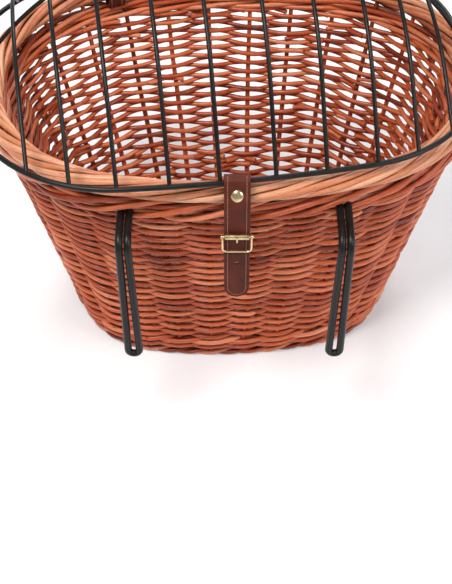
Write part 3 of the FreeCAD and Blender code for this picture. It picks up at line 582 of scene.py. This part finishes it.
STAKE_LEVELS = np.linspace(1.8, 262.0, 26)
STAKE_RADII = np.linspace(2.8, 2.1, len(STAKE_LEVELS))
STAKE_WOBBLE = 0.5


def build_stakes():
    """The upright rods, thick end down."""
    rods = Rods(ROD_SIDES)
    outlines = [wall_oval(level, WALL_MIDDLE) for level in STAKE_LEVELS]
    for stake in range(STAKES):
        share = np.array([stake / STAKES])
        points = np.array([outline.sample(share)[0][0] for outline in outlines])
        wobble = np.column_stack([smooth_noise(len(STAKE_LEVELS), 6, STAKE_WOBBLE) for _ in range(2)])
        path = np.column_stack([points + wobble, STAKE_LEVELS])
        rods.add(turned(path), STAKE_RADII, rng.uniform(0.05, 0.6), reference=(0.3, 1.0, 0.0))
    rods.build("stake_rods", WILLOW, replaces=["stakes"])


def build_foot():
    """The twisted ring that the basket stands on."""
    rods = Rods(ROD_SIDES)
    twisted_band(rods, 3.7, swing=2.9, rise=1.55, period=2.0, radius=2.05, outward=-4.5, jitter=0.15)
    rods.build("foot_rods", WILLOW, replaces=["foot_ring"])


BASE_LEVEL, BASE_PITCH, BASE_WAVE, STICK_GAP = 15.5, 4.5, 3.3, 34.0
BASE_STEP = 3.0
STICK_RADIUS, STICK_STEPS, OUTER_STICK_SHARE = 3.4, 40, 0.78


def half_depth(outline_points, x_value):
    """Half depth of an outline at one x, from its sampled points."""
    front = outline_points[outline_points[:, 1] > 0]
    order = np.argsort(front[:, 0])
    return np.interp(x_value, front[order, 0], front[order, 1])


def build_base():
    """The woven floor and the thick sticks that it is woven round."""
    outline = wall_oval(16.0, -9.0).sample(np.linspace(0, 1, 400, endpoint=False))[0]
    rods = Rods(ROD_SIDES)
    reach = outline[:, 0].max() - 3.0
    rows = int(2 * reach / BASE_PITCH)
    for row in range(rows):
        across = -reach + (row + 0.5) * 2 * reach / rows
        half = half_depth(outline, across)
        steps = max(int(half * 2 / BASE_STEP), 6)
        along = np.linspace(-half, half, steps)
        wave = np.cos(math.pi * along / STICK_GAP + math.pi * row)
        path = np.column_stack([across + smooth_noise(steps, 5, 0.4), along,
                                BASE_LEVEL + BASE_WAVE * wave])
        rods.add(turned(path), rng.uniform(2.0, 2.25), rng.beta(2, 2))
    rods.build("base_woven_rods", WILLOW, replaces=["base_weave"])
    sticks = Rods(ROD_SIDES)
    widest = outline[:, 0].max()
    for row in (-2, -1, 0, 1, 2):
        half = widest - 4.0 if abs(row) < 2 else widest * OUTER_STICK_SHARE
        along = np.linspace(-half, half, STICK_STEPS)
        path = np.column_stack([along, row * STICK_GAP + smooth_noise(STICK_STEPS, 5, 0.7),
                                np.full(STICK_STEPS, BASE_LEVEL)])
        radius = STICK_RADIUS * (1 + smooth_noise(STICK_STEPS, 8, 0.04))
        sticks.add(turned(path), radius, rng.uniform(0.2, 0.6))
    sticks.build("base_stick_rods", WILLOW, replaces=["base_sticks"])


build_courses()
build_bottom_waling()
build_top_waling()
build_border()
build_stakes()
build_foot()
build_base()

# ---------------------------------------------------------------- leather
JOINTS = {joint["name"]: np.array(joint["pos_m"]) / MM
          for joint in frame["joints"] if "pos_m" in joint}
SWING_EYE = JOINTS["strap_swing"]
BUCKLE_BAR = JOINTS["buckle_swing"]
STRAP_X = SWING_EYE[0]
STRAP_WIDE, STRAP_THICK, LAYER_GAP = 21.4, 2.0, 0.1
TIP = np.array([-186.0 + SHIFT[1], 170.0])
STITCH_INSET, STITCH_PITCH, STITCH_LONG, STITCH_RADIUS = 3.0, 2.5, 1.9, 0.30
STITCH_ARCH = np.array([-0.75, 0.1, 0.42, 0.5, 0.42, 0.1, -0.75]) * STITCH_RADIUS
GROOVE_DEEP, GROOVE_WIDE = 0.22, 0.7
PUFF_HIGH, PUFF_WIDE, PUFF_FROM_GROOVE = 0.12, 1.4, 1.9
EDGE_SHARE = 0.42


def along_line(path):
    """The distance travelled at each point of a line."""
    return np.concatenate([[0], np.cumsum(np.linalg.norm(np.diff(path, axis=0), axis=1))])


def rounded(points, radii, step=0.8):
    """Straight runs and tangent arcs as closely spaced points."""
    points = [np.asarray(point, float) for point in points]
    made = [points[0]]
    for index in range(1, len(points) - 1):
        corner, radius = points[index], radii[index - 1]
        back = points[index - 1] - corner
        ahead = points[index + 1] - corner
        back, ahead = back / np.linalg.norm(back), ahead / np.linalg.norm(ahead)
        half = math.acos(float(np.clip(back @ ahead, -1, 1))) / 2
        bisector = (back + ahead) / np.linalg.norm(back + ahead)
        centre = corner + bisector * radius / math.sin(half)
        first = corner + back * radius / math.tan(half)
        last = corner + ahead * radius / math.tan(half)
        spoke_a, spoke_b = first - centre, last - centre
        turn = math.pi - 2 * half
        count = max(int(turn * radius / step), 3)
        for part in np.linspace(0, 1, count + 1):
            share_a = math.sin((1 - part) * turn) / math.sin(turn)
            share_b = math.sin(part * turn) / math.sin(turn)
            made.append(centre + spoke_a * share_a + spoke_b * share_b)
    made.append(points[-1])
    return resampled(np.array(made), step)


def resampled(path, step):
    """The same line with evenly spaced points."""
    gaps = np.linalg.norm(np.diff(path, axis=0), axis=1)
    keep = np.concatenate([[True], gaps > 1e-6])
    path = path[keep]
    travel = along_line(path)
    spots = np.linspace(0, travel[-1], max(int(travel[-1] / step), 2) + 1)
    return np.column_stack([np.interp(spots, travel, column) for column in path.T])


def unit(vectors):
    return vectors / np.linalg.norm(vectors, axis=-1, keepdims=True)


class Strip:
    """A leather strap along a line, with rounded edges. Groove sinks its stitch lines, and tail
    rounds its first end."""

    def __init__(self, path, across, wide, thick, tail=False, closed=False, groove=True):
        self.path = np.asarray(path, float)
        self.across = np.asarray(across, float)
        self.wide, self.thick, self.closed, self.groove = wide, thick, closed, groove
        self.travel = along_line(self.path)
        tangent = np.gradient(self.path, axis=0)
        if closed:
            tangent = np.roll(self.path, -1, axis=0) - np.roll(self.path, 1, axis=0)
        self.normal = unit(np.cross(unit(tangent), self.across))
        self.half = np.full(len(self.path), wide / 2)
        if tail:
            beyond = np.clip((wide / 2 - self.travel) / (wide / 2), 0, 1)
            self.half = wide / 2 * np.sqrt(np.clip(1 - beyond ** 2.15, 0.0, 1))
            self.half = np.maximum(self.half, thick * EDGE_SHARE)

    def section(self, half):
        """Across and out offsets of the rounded section, with how near each point is to an edge."""
        edge = self.thick * EDGE_SHARE
        inner = max(half - edge, 0.01)
        flat = np.linspace(-1, 1, 19) * inner
        beyond = np.abs(flat) - (half - STITCH_INSET)
        dip = self.groove * GROOVE_DEEP * np.exp(-(beyond / GROOVE_WIDE) ** 2)
        puff = self.groove * PUFF_HIGH * np.exp(-((beyond + PUFF_FROM_GROOVE) / PUFF_WIDE) ** 2)
        top = np.column_stack([flat, self.thick / 2 - dip + puff])
        turn = np.linspace(math.pi / 2, -math.pi / 2, 9)[1:-1]
        side = np.column_stack([inner + edge * np.cos(turn), self.thick / 2 * np.sin(turn)])
        low = np.column_stack([flat[::-1], np.full(len(flat), -self.thick / 2) + dip])
        other = np.column_stack([-side[:, 0], side[:, 1]])[::-1]
        ring = np.concatenate([top, side, low, other])
        return ring, np.exp(-np.clip(half - np.abs(ring[:, 0]), 0, None) / 0.9)

    def build(self, name, body, replaces):
        """The strap's mesh, with how near each point is to an edge as an attribute."""
        rings, nears = zip(*(self.section(half) for half in self.half))
        rings = np.array(rings)
        size = rings.shape[1]
        steps = len(self.path)
        verts = (self.path[:, None, :] + self.across * rings[..., :1]
                 + self.normal[:, None, :] * rings[..., 1:])
        faces = []
        spans = steps if self.closed else steps - 1
        for step in range(spans):
            here, there = step * size, (step + 1) % steps * size
            for spot in range(size):
                after = (spot + 1) % size
                faces.append((here + spot, there + spot, there + after, here + after))
        if not self.closed:
            faces.append(tuple(range(size)))
            faces.append(tuple(reversed(range((steps - 1) * size, steps * size))))
        mesh = bpy.data.meshes.new(name)
        mesh.from_pydata((verts.reshape(-1, 3) * MM).tolist(), [], faces)
        near = mesh.attributes.new("edge_near", "FLOAT", "POINT")
        near.data.foreach_set("value", np.array(nears, np.float32).ravel())
        mesh.shade_smooth()
        mesh.update()
        return finish_piece(name, mesh, LEATHER, body, replaces)

    def at(self, travel, across, out):
        """A point on the strap from its distance along, across and out."""
        spot = np.array([np.interp(travel, self.travel, column) for column in self.path.T])
        normal = np.array([np.interp(travel, self.travel, column) for column in self.normal.T])
        return spot + self.across * across + unit(normal) * out

    def stitches(self, rods, start, end, face=1.0, tail=False):
        """Waxed thread on one face, along both edges and round the tail."""
        inset = self.wide / 2 - STITCH_INSET
        line = [(end, -inset)]
        if tail:
            low = self.wide / 2
            for turn in np.linspace(-math.pi / 2, math.pi / 2, 25):
                line.append((low - inset * 1.03 * math.cos(turn), inset * math.sin(turn)))
            line.append((end, inset))
            runs = [line]
        else:
            runs = [[(start, -inset), (end, -inset)], [(start, inset), (end, inset)]]
        for run in runs:
            run = resampled(np.array(run, float), 0.1)
            travel = along_line(run)
            count = int(travel[-1] / STITCH_PITCH)
            reach = np.linspace(-0.5, 0.5, len(STITCH_ARCH)) * STITCH_LONG
            for index in range(count):
                spots = (index + 0.5) * travel[-1] / count + reach
                along = np.interp(spots, travel, run[:, 0])
                aside = np.interp(spots, travel, run[:, 1]) + rng.uniform(-0.06, 0.06)
                path = [self.at(a, b, face * (self.thick / 2 - 0.16 + up))
                        for a, b, up in zip(along, aside, STITCH_ARCH)]
                radius = STITCH_RADIUS * (1 + rng.uniform(-0.08, 0.08))
                rods.add(path, radius, reference=(1.0, 0.1, 0.1))


def cut(piece, *tools):
    """Cut holes in a piece and keep the result as its mesh."""
    for tool in tools:
        hole = piece.modifiers.new("hole", "BOOLEAN")
        hole.operation = "DIFFERENCE"
        hole.solver = "EXACT"
        hole.object = tool
    bpy.context.view_layer.update()
    graph = bpy.context.evaluated_depsgraph_get()
    mesh = bpy.data.meshes.new_from_object(piece.evaluated_get(graph))
    piece.modifiers.clear()
    piece.data = mesh
    for tool in tools:
        bpy.data.objects.remove(tool)


def peg(centre, direction, length, radius, stretch=0.0):
    """A round or slotted peg that punches a hole: stretch is the slot's extra length."""
    direction = unit(np.asarray(direction, float))
    side = np.array([1.0, 0.0, 0.0])
    up = np.cross(direction, side)
    turn = np.linspace(0, 2 * math.pi, 28, endpoint=False)
    shape = side * np.cos(turn)[:, None] * radius + up * np.sin(turn)[:, None] * radius
    shape = shape + up * np.sign(np.sin(turn))[:, None] * stretch / 2
    reach = direction * length / 2
    verts = np.concatenate([centre + shape - reach, centre + shape + reach])
    count = len(turn)
    faces = [(k, (k + 1) % count, (k + 1) % count + count, k + count) for k in range(count)]
    faces += [tuple(reversed(range(count))), tuple(range(count, 2 * count))]
    mesh = bpy.data.meshes.new("peg")
    mesh.from_pydata((verts * MM).tolist(), [], faces)
    tool = bpy.data.objects.new("peg", mesh)
    bpy.context.scene.collection.objects.link(tool)
    return tool


def side_line(points):
    """Points of the strap's upright plane as places in space."""
    points = np.asarray(points)
    return np.column_stack([np.full(len(points), STRAP_X), points])


LID_WIRE, EYE_CLEAR, EYE_THROAT = 4.8, 1.8, 8.5
FOLD_LEAN, BEND_DOWN, RIVET_DOWN = math.radians(60.0), 18.5, 10.5
FOLD_END_Z, BUCKLE_Z, SPARE_HOLE_Z = 252.0, 230.6, 208.2
PRONG_SLOT_UP, PRONG_SLOT_STRETCH = 3.9, 5.0
PUNCH_LONG, SPARE_HOLE_RADIUS, SLOT_RADIUS, RIVET_HOLE_RADIUS = 10.0, 1.8, 1.6, 1.6

EYE = SWING_EYE[1:]
EYE_RADIUS = LID_WIRE / 2 + EYE_CLEAR + STRAP_THICK / 2
FALL = np.array([-math.cos(FOLD_LEAN), -math.sin(FOLD_LEAN)])
FALL_OUT = np.array([FALL[1], -FALL[0]])
BEND = EYE + FALL_OUT * EYE_RADIUS + FALL * BEND_DOWN
HANG = unit(TIP - BEND)
HANG_OUT = np.array([HANG[1], -HANG[0]])


def on_strap(level, out):
    """A point of the hanging outer layer at a height."""
    run = (level - BEND[1]) / HANG[1]
    return np.array([STRAP_X, *(BEND + HANG * run + HANG_OUT * out)])


def build_closure_strap(thread):
    """The strap folded over the lid's back wire, down through the buckle to its rounded tip."""
    layer_step = STRAP_THICK + LAYER_GAP
    both = unit(FALL_OUT + HANG_OUT)
    bend_in = BEND - both * layer_step / (both @ HANG_OUT)
    throat_out = EYE_RADIUS - layer_step
    throat_lean = math.atan2(throat_out, EYE_THROAT)
    throat_lean += math.asin(EYE_RADIUS / math.hypot(EYE_THROAT, throat_out))
    inner_corner = throat_out - (EYE_THROAT + EYE_RADIUS) * math.tan(throat_lean)
    over_eye = EYE - FALL * EYE_RADIUS
    points = [TIP, BEND, over_eye + FALL_OUT * EYE_RADIUS, over_eye + FALL_OUT * inner_corner,
              EYE + FALL * EYE_THROAT + FALL_OUT * throat_out, bend_in,
              bend_in + HANG * (FOLD_END_Z - bend_in[1]) / HANG[1]]
    path = side_line(rounded(points, [8.0, EYE_RADIUS - 0.05, EYE_RADIUS - 0.05, 3.0, 6.0]))
    strip = Strip(path, (1.0, 0.0, 0.0), STRAP_WIDE, STRAP_THICK, tail=True)
    if strip.normal[0][1] > 0:
        strip.normal = -strip.normal
    piece = strip.build("closure_strap_leather", "strap", ["closure_strap"])
    out = np.array([0.0, *HANG_OUT])
    rivet = np.array([STRAP_X, *(EYE + FALL * RIVET_DOWN + FALL_OUT * EYE_RADIUS)])
    cut(piece, peg(on_strap(SPARE_HOLE_Z, 0), out, PUNCH_LONG, SPARE_HOLE_RADIUS),
        peg(on_strap(BUCKLE_Z + PRONG_SLOT_UP, 0), out, PUNCH_LONG, SLOT_RADIUS, PRONG_SLOT_STRETCH),
        peg(rivet, np.array([0.0, *FALL_OUT]), PUNCH_LONG, RIVET_HOLE_RADIUS))
    over_the_wire = BEND_DOWN + EYE_RADIUS
    strip.stitches(thread, 0, float(np.linalg.norm(TIP - BEND)) + over_the_wire, tail=True)


def build_buckle_strap():
    """The short strap from the wall, folded round the buckle's bar, with a slot for the prong."""
    wide, thick, wire, lap_fit = 18.0, 1.4, 1.7, 0.25
    fold = wire / 2 + lap_fit + thick / 2
    lap = (thick + LAYER_GAP) / 2
    pin = BUCKLE_BAR[1:]
    wall_end = np.array([-146.5 + SHIFT[1], 208.0])
    run_in = unit(wall_end - pin)
    run_up = np.array([-run_in[1], run_in[0]])
    throat = 7.0
    half = (throat + fold) * math.tan(math.asin(fold / throat))
    far, near = pin - run_in * fold, pin + run_in * throat
    points = [wall_end + run_up * lap, near + run_up * lap, far + run_up * half,
              far - run_up * half, near - run_up * lap, wall_end - run_up * lap]
    path = side_line(rounded(points, [3.0, fold - 0.05, fold - 0.05, 3.0], 0.5))
    strip = Strip(path, (1.0, 0.0, 0.0), wide, thick, groove=False)
    piece = strip.build("buckle_strap_leather", "basket", ["buckle_strap"])
    inward = np.array([0.0, *run_in])
    centre = np.array([STRAP_X, *pin]) - inward * 2.0
    cut(piece, peg(centre, np.array([0.0, -1.0, 0.0]), 12.8, 2.5, 8.0))


LOOP_STRAP_WIDE, LOOP_THICK, LOOP_DEEP, LOOP_LOW, LOOP_HIGH = 16.0, 2.2, 24.4, 252.9, 286.4
LOOP_ROUND = 5.0


def build_hinge_loop(node_name, thread):
    """A closed leather loop round the border and the lid's front wire."""
    low, high = (np.array(corner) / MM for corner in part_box(node_name))
    middle = (low + high) / 2
    offset = middle - SHIFT
    cos, sin = math.cos(-WEAVE_TURN), math.sin(-WEAVE_TURN)
    in_weave = offset[0] * cos - offset[1] * sin
    turn = WEAVE_TURN - math.asin(in_weave / (BORDER["long_arc"] + BORDER_MIDDLE))
    across = np.array([math.cos(turn), math.sin(turn), 0.0])
    out = np.array([-math.sin(turn), math.cos(turn), 0.0])
    half_w, half_h = (LOOP_DEEP + LOOP_THICK) / 2, (LOOP_HIGH - LOOP_LOW + LOOP_THICK) / 2
    radius = LOOP_ROUND + LOOP_THICK / 2
    corners = [(0, -half_h), (half_w, -half_h), (half_w, half_h), (-half_w, half_h),
               (-half_w, -half_h), (0, -half_h)]
    flat = rounded(corners, [radius] * 4)[:-1]
    path = middle + out * flat[:, :1] + np.array([0.0, 0.0, 1.0]) * flat[:, 1:]
    strip = Strip(path, across, LOOP_STRAP_WIDE, LOOP_THICK, closed=True)
    strip.build(node_name + "_leather", "basket", [node_name])
    facing = 1.0 if (strip.normal[0] @ np.array([0.0, 0.0, -1.0])) > 0 else -1.0
    strip.stitches(thread, 3.0, strip.travel[-1] - 3.0, facing)


basket_thread = Rods(8)
for loop_name in ("hinge_loop_left", "hinge_loop_right"):
    build_hinge_loop(loop_name, basket_thread)
basket_thread.build("hinge_stitching", THREAD, body="basket", slot="leather")
build_buckle_strap()
strap_thread = Rods(8)
build_closure_strap(strap_thread)
strap_thread.build("strap_stitching", THREAD, body="strap", slot="leather")

# ---------------------------------------------------------------- wire and brass from the CAD
for name, cad in frame["nodes"].items():
    if name == "hook_frame" or name.startswith(("lid_", "dome_")):
        finish = BLACK
    elif name.startswith("buckle_") and name != "buckle_strap" or "rivet" in name:
        finish = BRASS
    else:
        continue
    for material_slot in cad.material_slots:
        material_slot.material = finish

# ---------------------------------------------------------------- floor, light and camera
FLOOR_HALF = 24.0
FLOOR_GLOW = 0.14


def build_floor():
    material, tree, shader = new_material("pale_floor")
    place = node(tree, "ShaderNodeTexCoord").outputs["Object"]
    colour = ramp(tree, noise(tree, place, 3.0),
                  [(0.4, (0.72, 0.72, 0.725)), (0.6, (0.76, 0.76, 0.765))])
    tree.links.new(colour, shader.inputs["Base Color"])
    shader.inputs["Roughness"].default_value = 0.85
    shader.inputs["Emission Color"].default_value = (0.95, 0.96, 1.0, 1.0)
    shader.inputs["Emission Strength"].default_value = FLOOR_GLOW
    mesh = bpy.data.meshes.new("floor")
    corners = [(x * FLOOR_HALF, y * FLOOR_HALF, 0) for x, y in ((-1, -1), (1, -1), (1, 1), (-1, 1))]
    mesh.from_pydata(corners, [], [(0, 1, 2, 3)])
    mesh.materials.append(material)
    floor = bpy.data.objects.new("floor", mesh)
    bpy.context.scene.collection.objects.link(floor)


def aim(thing, place, target):
    thing.location = place
    thing.rotation_euler = (Vector(target) - Vector(place)).to_track_quat("-Z", "Y").to_euler()


def area_light(name, place, target, size, power, colour=(1.0, 1.0, 1.0)):
    lamp = bpy.data.lights.new(name, "AREA")
    lamp.shape = "DISK"
    lamp.size = size
    lamp.energy = power
    lamp.color = colour
    holder = bpy.data.objects.new(name, lamp)
    bpy.context.scene.collection.objects.link(holder)
    aim(holder, place, target)


build_floor()
CENTRE = (0.0, 0.0, 0.2)
area_light("key", (-0.7, -0.9, 2.3), CENTRE, size=0.9, power=52.0, colour=(1.0, 0.97, 0.94))
area_light("fill", (1.6, -0.9, 1.4), CENTRE, size=1.1, power=20.0, colour=(1.0, 0.98, 0.98))
area_light("rim", (0.2, 1.6, 1.8), CENTRE, size=1.1, power=20.0)
world = bpy.data.worlds.new("studio")
bpy.context.scene.world = world
world.use_nodes = True
background = world.node_tree.nodes["Background"]
background.inputs["Color"].default_value = (0.92, 0.94, 0.97, 1.0)
background.inputs["Strength"].default_value = 0.42

CAMERA_PLACE = Vector((0.001, -0.8677, 0.9126))
CAMERA_PITCH = math.radians(46.8)
camera_data = bpy.data.cameras.new("camera")
camera_data.lens = 73.2
camera_data.sensor_width = 36.0
camera_data.clip_end = 30.0
camera = bpy.data.objects.new("camera", camera_data)
bpy.context.scene.collection.objects.link(camera)
view = Vector((0.0, math.cos(CAMERA_PITCH), -math.sin(CAMERA_PITCH)))
aim(camera, CAMERA_PLACE, CAMERA_PLACE + view)
bpy.context.scene.camera = camera
bpy.context.scene.view_settings.view_transform = "Standard"
